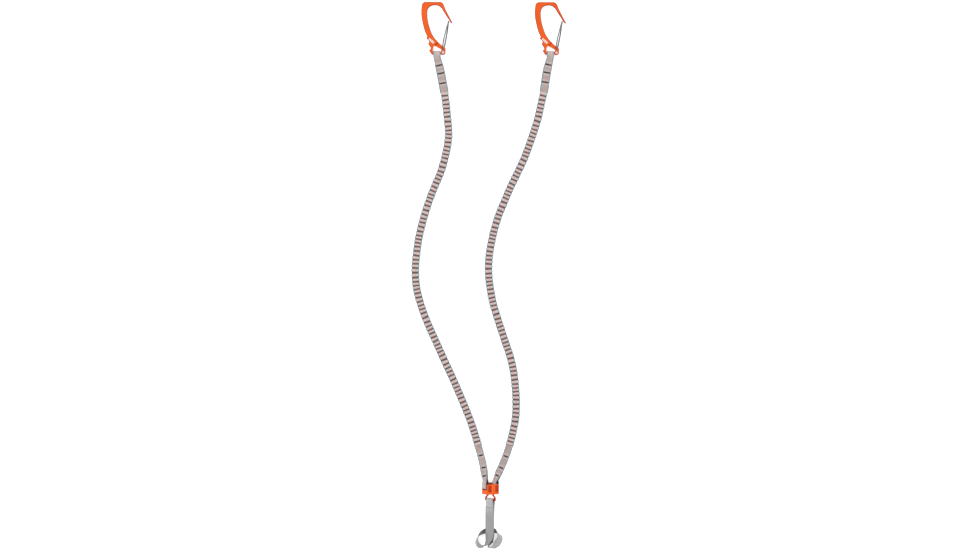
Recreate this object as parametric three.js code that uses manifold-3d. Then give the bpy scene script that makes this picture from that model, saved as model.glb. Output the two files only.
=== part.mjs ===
// Double elastic tool leash: two pleated elastic webbing arms that end in small wire-gate clips,
// joined by a swivel with a shackle and a webbing sling. It lies flat, as laid out on a table.
// Millimetres, +X to the right of the laid-out leash, +Y towards the clips, +Z up from the table.
import * as THREE from "three";
import { mergeVertices } from "three/addons/utils/BufferGeometryUtils.js";
import Module from "manifold-3d";

const wasm = await Module();
wasm.setup();
const { Vector2, Vector3 } = THREE;
const rad = THREE.MathUtils.degToRad;

// Driving dimensions
const FIT = 0.35; // clearance between touching pieces
const CENTRE_Z = 3.1; // height of the clips' and arms' middle plane over the table
const CLIP_THICK = 6.2;
const BAR_R = 1.7; // round bar of the clip that the webbing goes round
const LEG = 1.1; // thickness of one flattened layer of tubular webbing
const SEWN_HALF = 1.6; // half the thickness of a sewn end
const EYE_WIDTH = 10.6; // webbing squeezed between the feet of the clip
const SQUEEZE = 20; // the squeezed webbing comes back to its full width over this length
const STRAP_WIDTH = 12.2;
const TACK = { width: { upper: 9.8, lower: 7.2 }, length: 2.2, proud: 0.35, fit: 0.25 };
const SHEATH = { width: 10.6, thick: 6, wall: 0.8 };
const CORE = { width: 7.4, thick: 2.4 };
const WIRE_R = 1;
const GATE_PIVOT = new Vector2(8.5, 5.3);
const WEB_LOW = 2.3; // the thinned foot of the clip lies between these heights
const WEB_HIGH = 3.9;
const SWIVEL = {
  x: -4.8, z: 12.4, top: -305, height: 14.6, yaw: 35,
  length: 21, width: 15.5, cheek: 1.7, boss: 5, slot: 2.4, barHeight: 5.6, window: 8.3,
};
const AXLE = { r: 2, hole: 2.3, head: 2.9, dome: 1.7, rivet: 3, rivetThick: 1 };
const WASHER = { top: 0.6, bottom: 0.6, topR: 3.4, bottomR: 4.8 };
const RECESS = { r: 6.9, depth: 4.4 }; // hollow under the swivel that hides the shackle's crown
const CEILING = RECESS.depth - SWIVEL.height;
const SHACKLE = { half: 8.6, bar: 1.25, barY: -328.3, crown: 2.4, crownHalf: 6.4, yaw: 40 };
const SLING = { width: 12.7, thick: 1.2, steps: 110 };

const orange = { color: 0xf2621f, roughness: 0.38, metalness: 0.35 };
const redOrange = { color: 0xb8371a, roughness: 0.35, metalness: 0.45 };
const steel = { color: 0xb9bdc0, roughness: 0.28, metalness: 0.95 };
const greyWebbing = { color: 0x9a9e9e, roughness: 0.9, metalness: 0 };
const slingWebbing = { color: 0xa6a6a6, roughness: 0.88, metalness: 0 };
const darkThread = { color: 0x1c1c1e, roughness: 0.85, metalness: 0 };
const paleThread = { color: 0xd0d0cc, roughness: 0.85, metalness: 0 };
const rubber = { color: 0x3a3a3c, roughness: 0.8, metalness: 0 };
const nylon = { color: 0x222224, roughness: 0.5, metalness: 0 };

const leash = new THREE.Group();

function addPiece(name, geometry, finish, parent = leash) {
  const mesh = new THREE.Mesh(geometry, new THREE.MeshStandardMaterial(finish));
  mesh.name = name;
  parent.add(mesh);
  return mesh;
}

// Solids ---------------------------------------------------------------------------------------

function merged(geometry) {
  const bare = geometry.clone();
  for (const name of ["normal", "uv"]) bare.deleteAttribute(name);
  return mergeVertices(bare, 1e-4);
}

function solid(geometry) {
  const bare = merged(geometry);
  return new wasm.Manifold(new wasm.Mesh({
    numProp: 3,
    vertProperties: new Float32Array(bare.attributes.position.array),
    triVerts: new Uint32Array(bare.index.array),
  }));
}

function geometryOf(manifold) {
  const mesh = manifold.getMesh();
  const geometry = new THREE.BufferGeometry();
  geometry.setAttribute("position", new THREE.BufferAttribute(mesh.vertProperties, 3));
  geometry.setIndex(new THREE.BufferAttribute(mesh.triVerts, 1));
  return geometry;
}

function box(x0, x1, y0, y1, z0, z1) {
  const geometry = new THREE.BoxGeometry(x1 - x0, y1 - y0, z1 - z0);
  return geometry.translate((x0 + x1) / 2, (y0 + y1) / 2, (z0 + z1) / 2);
}

function rodAlongY(r, y0, y1, sides = 24) {
  return new THREE.CylinderGeometry(r, r, y1 - y0, sides).translate(0, (y0 + y1) / 2, 0);
}

function rodAlongX(r, x0, x1, y, z) {
  const rod = new THREE.CylinderGeometry(r, r, x1 - x0, 20).rotateZ(Math.PI / 2);
  return rod.translate((x0 + x1) / 2, y, z);
}

function rodAlongZ(r, x, y, z0, z1) {
  const rod = new THREE.CylinderGeometry(r, r, z1 - z0, 24).rotateX(Math.PI / 2);
  return rod.translate(x, y, (z0 + z1) / 2);
}

function roundedRect(halfX, halfY, r, Kind = THREE.Shape) {
  const shape = new Kind();
  shape.absarc(halfX - r, halfY - r, r, 0, Math.PI / 2, false);
  shape.absarc(r - halfX, halfY - r, r, Math.PI / 2, Math.PI, false);
  shape.absarc(r - halfX, r - halfY, r, Math.PI, 1.5 * Math.PI, false);
  shape.absarc(halfX - r, r - halfY, r, 1.5 * Math.PI, 2 * Math.PI, false);
  shape.closePath();
  return shape;
}

// Clip -----------------------------------------------------------------------------------------
// Its own origin is the middle of the bar that the webbing goes round; the nose points to +X.

function clipOutline() {
  const shape = new THREE.Shape();
  shape.moveTo(-7.4, -2.6);
  for (const [x, y] of [[-11.6, 3.4], [-8.9, 5.8], [-9.5, 8.6], [-12.9, 13], [-11.2, 16.2],
    [-12.2, 18.6], [-15.6, 21.3], [-14, 23.8]]) shape.lineTo(x, y);
  shape.splineThru([new Vector2(-17.5, 31.2), new Vector2(-20.4, 41.5), new Vector2(-22.4, 52),
    new Vector2(-22.9, 61), new Vector2(-22.1, 69.5)]);
  shape.quadraticCurveTo(-21.2, 74.5, -16.4, 74.5);
  shape.lineTo(4.4, 74.5);
  shape.quadraticCurveTo(8.7, 74.4, 10.1, 70);
  shape.lineTo(12.3, 63.9);
  shape.lineTo(22.6, 44.4);
  shape.quadraticCurveTo(22.2, 42.9, 20.7, 43.5);
  shape.lineTo(17.3, 48.7);
  shape.lineTo(10, 60);
  shape.splineThru([new Vector2(6.2, 66.1), new Vector2(2.2, 69), new Vector2(-3, 69.9),
    new Vector2(-9.2, 68.5), new Vector2(-13, 64.6), new Vector2(-14.3, 59),
    new Vector2(-14, 52), new Vector2(-12.7, 44), new Vector2(-10.3, 35.6),
    new Vector2(-6.7, 26.6), new Vector2(-0.8, 18.4), new Vector2(7, 11.1)]);
  shape.quadraticCurveTo(8.8, 8.3, 10.4, 7.9);
  shape.quadraticCurveTo(12.9, 7.8, 12.9, 5.2);
  shape.absarc(8.9, 0.7, 3.6, rad(20), rad(-90), true);
  shape.closePath();
  return shape;
}

// the eye of the webbing and the space above it
function attachmentSlot() {
  const slot = new THREE.Shape([new Vector2(-4.6, 10.2), new Vector2(-3.2, 10.4),
    new Vector2(6.2, 5.2), new Vector2(6.2, -6), new Vector2(-6, -6),
    new Vector2(-6, 5.6)]);
  return new THREE.ExtrudeGeometry(slot, { depth: 10, bevelEnabled: false }).translate(0, 0, -2);
}

// a half disc that thins the frame where the gate's two wires straddle it
function gatePocket(z0, z1) {
  const half = new THREE.Shape();
  half.absarc(GATE_PIVOT.x, GATE_PIVOT.y - 1.9, 14, 0, Math.PI, false);
  half.closePath();
  const pocket = new THREE.ExtrudeGeometry(half, { depth: z1 - z0, bevelEnabled: false });
  return pocket.translate(0, 0, z0);
}

function clipFrame() {
  const bevel = 0.8;
  const plate = new THREE.ExtrudeGeometry(clipOutline(), {
    depth: CLIP_THICK - 2 * bevel, curveSegments: 4,
    bevelThickness: bevel, bevelSize: bevel * 0.9, bevelOffset: -bevel * 0.9, bevelSegments: 1,
  }).translate(0, 0, bevel);
  const bar = rodAlongX(BAR_R, -6.6, 6.6, 0, CENTRE_Z);
  const { x, y } = GATE_PIVOT;
  return geometryOf(solid(plate)
    .subtract(solid(attachmentSlot()))
    .subtract(solid(gatePocket(-1, WEB_LOW)))
    .subtract(solid(gatePocket(WEB_HIGH, CLIP_THICK + 1)))
    .subtract(solid(rodAlongZ(WIRE_R + FIT, x, y, -1, CLIP_THICK + 1)))
    .subtract(solid(rodAlongZ(1.6, 9, 0.2, -1, CLIP_THICK + 1)))
    .subtract(solid(rodAlongZ(1.6, 9, 1.2, -1, CLIP_THICK + 1)))
    .add(solid(bar)));
}

// one bent wire: both feet point inwards into the frame, and the far bend crosses behind the nose
function wireGate() {
  const front = CLIP_THICK - WIRE_R - 0.05;
  const rear = WIRE_R + 0.05;
  const { x, y } = GATE_PIVOT;
  const centre = new THREE.CatmullRomCurve3([
    new Vector3(x, y, CENTRE_Z + 0.2), new Vector3(x, y, front - 1.1),
    new Vector3(x - 0.1, y + 0.4, front - 0.3), new Vector3(x - 0.2, y + 1.6, front),
    new Vector3(8.7, 12, front), new Vector3(10.4, 22, front), new Vector3(12.6, 31, front),
    new Vector3(15.3, 41, front - 0.2), new Vector3(16.5, 44.6, front - 0.7),
    new Vector3(17, 45.8, CENTRE_Z + 0.9), new Vector3(17.1, 46, CENTRE_Z - 0.9),
    new Vector3(16.9, 44.8, rear + 0.7), new Vector3(16.4, 42, rear + 0.1),
    new Vector3(15, 31, rear), new Vector3(13.5, 22, rear), new Vector3(11.7, 13, rear),
    new Vector3(10.6, 8.6, rear), new Vector3(9.6, y + 1.1, rear),
    new Vector3(x + 0.1, y + 0.25, rear + 0.4), new Vector3(x, y, rear + 1.1),
    new Vector3(x, y, CENTRE_Z - 0.2),
  ], false, "centripetal");
  const section = new THREE.Shape();
  section.absarc(0, 0, WIRE_R, 0, 2 * Math.PI, false);
  return new THREE.ExtrudeGeometry(section, { steps: 60, curveSegments: 3, extrudePath: centre });
}

// Webbing straps -------------------------------------------------------------------------------
// A sewn end is drawn straight: X across, Y along from the bar that its eye goes round, Z thick.
// Then it is laid along a centre line, with a roll about it.

function strapProfile({ eyeR, drop, rise, taper, length }) {
  const outer = eyeR + LEG;
  const stations = [];
  for (let y = taper; y < length - 2; y += 5) stations.push(y);
  stations.push(length);
  const shape = new THREE.Shape();
  shape.absarc(0, -drop, outer, Math.PI, 2 * Math.PI, false);
  const shoulder = rise + (taper - rise) / 2;
  const shoulderHalf = (outer + SEWN_HALF) / 2;
  shape.lineTo(outer, rise);
  shape.lineTo(shoulderHalf, shoulder);
  for (const y of stations) shape.lineTo(SEWN_HALF, y);
  for (const y of [...stations].reverse()) shape.lineTo(-SEWN_HALF, y);
  shape.lineTo(-shoulderHalf, shoulder);
  shape.lineTo(-outer, rise);
  shape.closePath();
  const eye = new THREE.Path();
  eye.absarc(0, -drop, eyeR, Math.PI, 2 * Math.PI, false);
  eye.lineTo(eyeR, rise);
  eye.lineTo(0, rise + (taper - rise) * 0.8);
  eye.lineTo(-eyeR, rise);
  eye.closePath();
  shape.holes.push(eye);
  return shape;
}

function straightStrap(spec, tacks, tackWidth) {
  const profile = strapProfile(spec);
  const plain = new THREE.ExtrudeGeometry(profile, {
    depth: STRAP_WIDTH, bevelEnabled: false, curveSegments: 7,
  }).translate(0, 0, -STRAP_WIDTH / 2).rotateY(Math.PI / 2);
  const wide = tackWidth + 2 * TACK.fit;
  const long = TACK.length + 2 * TACK.fit;
  let strap = solid(plain);
  for (const y of tacks) {
    strap = strap.subtract(solid(new THREE.BoxGeometry(wide, long, 10).translate(0, y, 0)));
  }
  return geometryOf(strap);
}

function straightTack(y, width) {
  const thick = 2 * (SEWN_HALF + TACK.proud);
  return merged(new THREE.BoxGeometry(width, TACK.length, thick).translate(0, y, 0));
}

// eye end stays square to its bar for the length "square", then the strap follows the curve
function layAlong(geometry, { bar, heading, square, curve, length, rolls }) {
  const position = geometry.attributes.position;
  const up = new Vector3(0, 0, 1);
  for (let i = 0; i < position.count; i += 1) {
    const along = position.getY(i);
    const t = THREE.MathUtils.clamp((along - square) / (length - square), 0, 1);
    const centre = t > 0 ? curve.getPointAt(t)
      : bar.clone().addScaledVector(heading, along);
    const tangent = t > 0 ? curve.getTangentAt(t) : heading.clone();
    const squeeze = THREE.MathUtils.lerp(EYE_WIDTH / STRAP_WIDTH, 1,
      THREE.MathUtils.smoothstep(along, square, square + SQUEEZE));
    const roll = THREE.MathUtils.lerp(rolls[0], rolls[1], THREE.MathUtils.smoothstep(t, 0, 0.6));
    const level = tangent.clone().cross(up).normalize();
    const normal = level.clone().cross(tangent);
    const across = level.clone().multiplyScalar(Math.cos(roll))
      .addScaledVector(normal, Math.sin(roll));
    const facing = across.clone().cross(tangent);
    const point = centre.addScaledVector(across, position.getX(i) * squeeze)
      .addScaledVector(facing, position.getZ(i));
    position.setXYZ(i, point.x, point.y, point.z);
  }
  return geometry;
}

function sewnEnd(side, end, spec, path, tacks) {
  const { bar, heading, square, points, rolls } = path;
  const start = bar.clone().addScaledVector(heading, square);
  const curve = new THREE.CatmullRomCurve3([start, ...points], false, "centripetal");
  const length = square + curve.getLength();
  const lay = { bar, heading, square, curve, length, rolls };
  const strap = straightStrap({ ...spec, length }, tacks, TACK.width[end]);
  addPiece(`${side}_${end}_webbing_eye`, layAlong(strap, lay), greyWebbing);
  tacks.forEach((y, i) => {
    addPiece(`${side}_${end}_bar_tack_${i + 1}`, layAlong(straightTack(y, TACK.width[end]), lay), darkThread);
  });
}

// Arms -----------------------------------------------------------------------------------------
// Centre line of each pleated elastic stretch, from the clip end to the swivel end.
const ROUTES = {
  left: [[-72.3, 268, 3.1], [-69.8, 250, 3.1], [-67.6, 228, 3.1], [-66, 208, 3.1],
    [-67.4, 192, 3.1], [-71.5, 172, 3.1], [-78, 150, 3.1], [-86.5, 130, 3.1], [-95, 108, 3.1],
    [-102.5, 84, 3.1], [-109, 58, 3.1], [-113.2, 30, 3.1], [-114.8, 5, 3.1], [-113, -18, 3.1],
    [-107, -42, 3.1], [-97.5, -68, 3.1], [-85, -96, 3.1], [-71.5, -126, 3.1], [-59, -153, 3.1],
    [-47, -181, 3.1], [-36, -208, 3.2], [-27.4, -233, 3.9], [-22.6, -250, 5.4]],
  right: [[73.2, 268, 3.1], [69.2, 250, 3.1], [64.2, 228, 3.1], [58, 208, 3.1],
    [52.4, 192, 3.1], [45, 172, 3.1], [34.8, 150, 3.1], [25, 130, 3.1], [15.5, 108, 3.1],
    [5.9, 84, 3.1], [-1.3, 58, 3.1], [-6.4, 30, 3.1], [-7.6, 5, 3.1], [-5.3, -18, 3.1],
    [-0.6, -42, 3.1], [7.2, -68, 3.1], [16.4, -96, 3.1], [26, -126, 3.1], [30.6, -153, 3.1],
    [32.7, -181, 3.1], [31.9, -208, 3.1], [27.2, -233, 3.2], [22.8, -250, 3.6]],
};
const UPPER_BARS = {
  left: new Vector3(-83.1, 325.5, CENTRE_Z),
  right: new Vector3(83, 325.1, CENTRE_Z),
};
const UPPER_POINTS = { left: [[-78.3, 300, 3.1]], right: [[78.2, 300, 3.1]] };
const LOWER_POINTS = {
  left: [[-13.4, -291, 15.9], [-15.4, -278, 12.6], [-18.7, -264, 8.8]],
  right: [[6.4, -291, 6.7], [12.3, -278, 5.7], [18, -264, 4.5]],
};
const UPPER_TACKS = { left: [18.8, 30.8, 45.4], right: [17.4, 29.2, 43.4] };
const LOWER_TACKS = { left: [15.2, 27.4, 46], right: [15.4, 28, 46] };

const vector = (point) => new Vector3(...point);

function arm(side, wing) {
  const route = ROUTES[side].map(vector);
  const path = new THREE.CatmullRomCurve3(route, false, "centripetal");
  const wall = SHEATH.wall;
  const halfThick = SHEATH.thick / 2;
  const halfWide = SHEATH.width / 2;
  const tube = new THREE.Shape();
  tube.absellipse(0, 0, halfThick, halfWide, 0, 2 * Math.PI, false);
  const bore = new THREE.Path();
  bore.absellipse(0, 0, halfThick - wall, halfWide - wall, 0, 2 * Math.PI, false);
  tube.holes.push(bore);
  const steps = { steps: 30, curveSegments: 5, extrudePath: path };
  addPiece(`${side}_pleated_sheath`, new THREE.ExtrudeGeometry(tube, steps), greyWebbing);
  const strip = roundedRect(CORE.thick / 2, CORE.width / 2, 0.8);
  const coreSteps = { steps: 30, curveSegments: 1, extrudePath: path };
  addPiece(`${side}_elastic_core`, new THREE.ExtrudeGeometry(strip, coreSteps), rubber);

  const first = route[0];
  const last = route[route.length - 1];
  const gap = 0.8;
  const above = first.clone().addScaledVector(path.getTangentAt(0), -gap);
  const below = last.clone().addScaledVector(path.getTangentAt(1), gap);
  sewnEnd(side, "upper", { eyeR: BAR_R + 0.3, drop: 0, rise: 0, taper: 14 }, {
    bar: UPPER_BARS[side], heading: new Vector3(0, -1, 0), square: 5.5,
    points: [...UPPER_POINTS[side].map(vector), above], rolls: [0, 0],
  }, UPPER_TACKS[side]);
  sewnEnd(side, "lower", { eyeR: wing.eyeR, drop: wing.drop, rise: 3.2, taper: 11 }, {
    bar: wing.centre, heading: new Vector3(0, 1, 0), square: 7,
    points: [...LOWER_POINTS[side].map(vector), below], rolls: [rad(90 - SWIVEL.yaw), 0],
  }, LOWER_TACKS[side]);
}

function clip(side) {
  const seat = new THREE.Group();
  seat.position.set(UPPER_BARS[side].x, UPPER_BARS[side].y, 0);
  leash.add(seat);
  addPiece(`${side}_clip_frame`, clipFrame(), orange, seat);
  addPiece(`${side}_wire_gate`, wireGate(), steel, seat);
}

// Swivel ---------------------------------------------------------------------------------------
// Its own frame: X out along a wing, Y along the axle, Z across. It is turned about the axle.

function swivelPlan() {
  const halfX = SWIVEL.length / 2;
  const halfZ = SWIVEL.width / 2;
  const shape = new THREE.Shape();
  shape.moveTo(halfX - 2, -halfZ);
  shape.quadraticCurveTo(halfX, -halfZ, halfX, 2 - halfZ);
  shape.lineTo(halfX, halfZ - 2);
  shape.quadraticCurveTo(halfX, halfZ, halfX - 2, halfZ);
  shape.lineTo(3, halfZ);
  shape.quadraticCurveTo(0, halfZ + 1.6, -3, halfZ);
  shape.lineTo(2 - halfX, halfZ);
  shape.quadraticCurveTo(-halfX, halfZ, -halfX, halfZ - 2);
  shape.lineTo(-halfX, 2 - halfZ);
  shape.quadraticCurveTo(-halfX, -halfZ, 2 - halfX, -halfZ);
  shape.lineTo(-3, -halfZ);
  shape.quadraticCurveTo(0, -halfZ - 1.6, 3, -halfZ);
  shape.closePath();
  return shape;
}

const WING_BAR_WIDTH = SWIVEL.length / 2 - SWIVEL.boss - SWIVEL.slot;
const WING_BAR_X = SWIVEL.length / 2 - WING_BAR_WIDTH / 2;

function swivelBody() {
  const bevel = 0.8;
  const block = new THREE.ExtrudeGeometry(swivelPlan(), {
    depth: SWIVEL.height - 2 * bevel, curveSegments: 4,
    bevelThickness: bevel, bevelSize: bevel, bevelOffset: -bevel, bevelSegments: 1,
  }).rotateX(Math.PI / 2).translate(0, -bevel, 0);
  const half = SWIVEL.width / 2 - SWIVEL.cheek;
  let body = solid(block);
  for (const s of [-1, 1]) {
    const inner = s * SWIVEL.boss;
    const outer = s * (SWIVEL.length / 2 + 3);
    const [x0, x1] = inner < outer ? [inner, outer] : [outer, inner];
    const opening = box(x0, x1, -SWIVEL.window, 3, -half, half);
    const bar = new THREE.ExtrudeGeometry(
      roundedRect(WING_BAR_WIDTH / 2, SWIVEL.barHeight / 2, 1.4),
      { depth: 2 * half + 1, bevelEnabled: false, curveSegments: 4 },
    ).translate(s * WING_BAR_X, -SWIVEL.barHeight / 2, -half - 0.5);
    body = body.subtract(solid(opening)).add(solid(bar));
  }
  return geometryOf(body
    .subtract(solid(rodAlongY(RECESS.r, -SWIVEL.height - 1, CEILING, 32)))
    .subtract(solid(rodAlongY(AXLE.hole, -SWIVEL.height - 1, 1))));
}

function axle() {
  const under = CEILING - FIT - WASHER.bottom - 0.3;
  const crownLow = under - SHACKLE.crown;
  const head = WASHER.top + 2 * 0.3;
  const foot = crownLow - 0.3;
  const points = [[0, foot - AXLE.rivetThick], [AXLE.rivet - 0.6, foot - AXLE.rivetThick],
    [AXLE.rivet, foot - 0.4], [AXLE.rivet, foot], [AXLE.r, foot], [AXLE.r, head],
    [AXLE.head, head]].map(([r, y]) => new Vector2(r, y));
  for (const turn of [22.5, 45, 67.5]) {
    points.push(new Vector2(AXLE.head * Math.cos(rad(turn)), head + AXLE.dome * Math.sin(rad(turn))));
  }
  points.push(new Vector2(0, head + AXLE.dome));
  return merged(new THREE.LatheGeometry(points, 24));
}

function washer(outerR, y0, thick) {
  const ring = solid(rodAlongY(outerR, y0, y0 + thick));
  return geometryOf(ring.subtract(solid(rodAlongY(AXLE.r + FIT, y0 - 1, y0 + thick + 1))));
}

// a ring of rounded square section, with a flat eye on its top for the axle
// a bail: narrow where it turns inside the swivel's hollow, wide where the sling hangs
function shackle() {
  const r = SHACKLE.bar;
  const wire = 2 * r;
  const top = CEILING - FIT - WASHER.bottom - 0.3;
  const low = SHACKLE.barY - SWIVEL.top - r;
  const mouth = -SWIVEL.height - 0.6;
  const wide = -SWIVEL.height - 5.9;
  const side = (Kind, halfTop, halfLow, y0, y1, round, bulge) => {
    const path = new Kind();
    path.moveTo(halfTop - round, y0);
    path.lineTo(round - halfTop, y0);
    path.quadraticCurveTo(-halfTop, y0, -halfTop, y0 - round);
    path.lineTo(-halfTop, mouth);
    path.bezierCurveTo(-halfTop, mouth - 2.2 - bulge, -halfLow, wide + 3.2, -halfLow, wide);
    path.lineTo(-halfLow, y1 + 2 * round);
    path.quadraticCurveTo(-halfLow, y1, 2 * round - halfLow, y1);
    path.lineTo(halfLow - 2 * round, y1);
    path.quadraticCurveTo(halfLow, y1, halfLow, y1 + 2 * round);
    path.lineTo(halfLow, wide);
    path.bezierCurveTo(halfLow, wide + 3.2, halfTop, mouth - 2.2 - bulge, halfTop, mouth);
    path.lineTo(halfTop, y0 - round);
    path.closePath();
    return path;
  };
  const halfLow = SHACKLE.half + r;
  const outline = side(THREE.Shape, SHACKLE.crownHalf, halfLow, top, low, 1.2, 0);
  outline.holes.push(side(THREE.Path, SHACKLE.crownHalf - wire, halfLow - wire,
    top - SHACKLE.crown, low + wire, 0.6, 1));
  const bevel = 0.5;
  const ring = new THREE.ExtrudeGeometry(outline, {
    depth: wire - 2 * bevel, curveSegments: 5,
    bevelThickness: bevel, bevelSize: bevel, bevelOffset: -bevel, bevelSegments: 1,
  }).translate(0, 0, bevel - r);
  const eye = rodAlongY(3.6, top - SHACKLE.crown, top);
  const bore = rodAlongY(AXLE.r + FIT, top - 8, top + 1);
  return geometryOf(solid(ring).add(solid(eye)).subtract(solid(bore)));
}

function wingCentre(s) {
  const turned = new Vector3(s * WING_BAR_X, -SWIVEL.barHeight / 2, 0)
    .applyAxisAngle(new Vector3(0, 1, 0), rad(SWIVEL.yaw));
  return turned.add(new Vector3(SWIVEL.x, SWIVEL.top, SWIVEL.z));
}

function swivel() {
  const block = new THREE.Group();
  block.position.set(SWIVEL.x, SWIVEL.top, SWIVEL.z);
  block.rotation.y = rad(SWIVEL.yaw);
  leash.add(block);
  addPiece("swivel_body", swivelBody(), orange, block);
  const spindle = new THREE.Group();
  spindle.position.copy(block.position);
  spindle.rotation.y = -rad(SHACKLE.yaw);
  leash.add(spindle);
  addPiece("swivel_axle", axle(), redOrange, spindle);
  addPiece("upper_washer", washer(WASHER.topR, 0.3, WASHER.top), nylon, spindle);
  const lowWasher = CEILING - FIT - WASHER.bottom;
  addPiece("lower_washer", washer(WASHER.bottomR, lowWasher, WASHER.bottom), nylon, spindle);
  addPiece("shackle", shackle(), redOrange, spindle);
}

// Sling ----------------------------------------------------------------------------------------
// A sewn ribbon loop. Each row is a point of its centre line and the ribbon's width direction:
// down the front strand, round the left ear, behind both strands, round the right ear, and up
// the rear strand. The fold over the shackle's bar closes it.
const SLING_ROUTE = [
  [-6.1, -335, 14.3, 0.91, 0, 0.42], [-5.9, -344, 14.2, 0.99, 0, 0.14],
  [-5.9, -355, 14.1, 1, 0, 0], [-5.9, -366, 14.1, 1, 0, 0.05], [-6, -375, 13.4, 0.98, 0, 0.21],
  [-6.7, -382, 11.6, 0.87, 0, 0.5], [-8.6, -387.5, 9.8, 0.67, 0.02, 0.74],
  [-11.2, -391.8, 8.2, 0.42, 0.15, 0.9], [-14.5, -395, 7.2, 0.28, 0.35, 0.89],
  [-19, -396.4, 6.7, 0.2, 0.48, 0.86], [-23.3, -393.7, 6.5, 0.28, 0.45, 0.84],
  [-24.6, -388.5, 6.4, 0.3, 0.45, 0.84], [-23.2, -383, 6.3, 0.27, 0.48, 0.83],
  [-19.5, -378, 6, 0.15, 0.57, 0.81], [-13.5, -374.4, 5.4, 0.05, 0.64, 0.77],
  [-6, -372.8, 5, 0, 0.66, 0.75], [1, -373.8, 5.3, -0.12, 0.62, 0.77],
  [5.6, -377.2, 5.8, -0.35, 0.5, 0.79], [8.3, -382, 6, -0.56, 0.28, 0.78],
  [7.9, -387.4, 5.3, -0.72, 0.2, 0.66], [5.2, -391.9, 5, -0.62, 0.5, 0.6],
  [1.6, -395.4, 5.3, -0.4, 0.55, 0.73], [-2.3, -397.6, 6.3, -0.08, 0.26, 0.96],
  [-5.6, -398, 6.5, 0, 0.06, 1], [-7.9, -396.9, 6.5, 0, 0, 1],
  [-7.4, -394.7, 6.5, 0, 0, 1], [-4.9, -392.2, 6.5, 0.1, 0, 0.99],
  [-3.2, -388.3, 6.6, 0.34, 0, 0.94], [-4.4, -383.3, 7.4, 0.67, 0, 0.74],
  [-5.3, -377.5, 9.6, 0.91, 0, 0.42], [-5.8, -371, 11.8, 0.99, 0, 0.14],
  [-5.9, -362, 12.1, 1, 0, 0], [-5.7, -352, 11.7, 1, 0, 0], [-5.3, -343, 11.4, 0.99, 0, 0.14],
  [-4.5, -335, 11, 0.91, 0, 0.42],
];

function slingStations() {
  const yaw = rad(SHACKLE.yaw);
  const along = new Vector3(Math.cos(yaw), 0, Math.sin(yaw));
  const forward = new Vector3(-Math.sin(yaw), 0, Math.cos(yaw));
  const bar = new Vector3(SWIVEL.x, SHACKLE.barY, SWIVEL.z);
  const reach = SHACKLE.bar + 0.6 + SLING.thick / 2;
  const stations = SLING_ROUTE.map(([x, y, z, a, b, c]) => (
    { centre: new Vector3(x, y, z), width: new Vector3(a, b, c) }));
  for (const turn of [180, 150, 120, 90, 60, 30, 0]) {
    const centre = bar.clone().addScaledVector(forward, reach * Math.cos(rad(turn)));
    centre.y += reach * Math.sin(rad(turn));
    stations.push({ centre, width: along });
  }
  return stations;
}

function slingLoop() {
  const stations = slingStations();
  const centres = new THREE.CatmullRomCurve3(stations.map((s) => s.centre), true, "centripetal");
  const n = stations.length;
  const corners = [];
  const faces = [];
  const perSpan = Math.max(2, Math.round(SLING.steps / n));
  const total = n * perSpan;
  for (let i = 0; i < total; i += 1) {
    const t = i / total;
    const span = Math.floor(i / perSpan);
    const share = (i % perSpan) / perSpan;
    const centre = centres.getPoint(t);
    const tangent = centres.getTangent(t);
    const across = stations[span].width.clone().lerp(stations[(span + 1) % n].width, share);
    across.addScaledVector(tangent, -across.dot(tangent)).normalize();
    const facing = tangent.clone().cross(across);
    const reach = (Math.abs(across.z) * SLING.width + Math.abs(facing.z) * SLING.thick) / 2;
    centre.z = Math.max(centre.z, reach + 0.05); // the ring stands on the table
    for (const [a, b] of [[-1, -1], [1, -1], [1, 1], [-1, 1]]) {
      const corner = centre.clone().addScaledVector(across, a * SLING.width / 2)
        .addScaledVector(facing, b * SLING.thick / 2);
      corners.push(corner.x, corner.y, corner.z);
    }
    for (let k = 0; k < 4; k += 1) {
      const here = i * 4;
      const next = ((i + 1) % total) * 4;
      const m = (k + 1) % 4;
      faces.push(here + k, here + m, next + m, here + k, next + m, next + k);
    }
  }
  const geometry = new THREE.BufferGeometry();
  geometry.setAttribute("position", new THREE.Float32BufferAttribute(corners, 3));
  geometry.setIndex(faces);
  return geometry;
}

function sling() {
  const tack = { x: -5.8, y: -356, z: 11.9, width: 9.6, length: 2.2, thick: 1.8 };
  const hole = box(tack.x - tack.width / 2 - 0.3, tack.x + tack.width / 2 + 0.3,
    tack.y - tack.length / 2 - 0.3, tack.y + tack.length / 2 + 0.3, tack.z - 1.2, tack.z + 1.2);
  addPiece("sling", geometryOf(solid(slingLoop()).subtract(solid(hole))), slingWebbing);
  const thread = new THREE.BoxGeometry(tack.width, tack.length, tack.thick);
  addPiece("sling_bar_tack", merged(thread.translate(tack.x, tack.y, tack.z)), paleThread);
}

for (const side of ["left", "right"]) {
  const s = side === "left" ? -1 : 1;
  clip(side);
  const eyeR = WING_BAR_WIDTH / 2 + FIT;
  arm(side, { centre: wingCentre(s), eyeR, drop: SWIVEL.barHeight / 2 + FIT - eyeR });
}
swivel();
sling();

export default leash;
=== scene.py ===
"""Double elastic tool leash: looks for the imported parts, in metres, in the parts' own frame."""
import math

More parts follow.
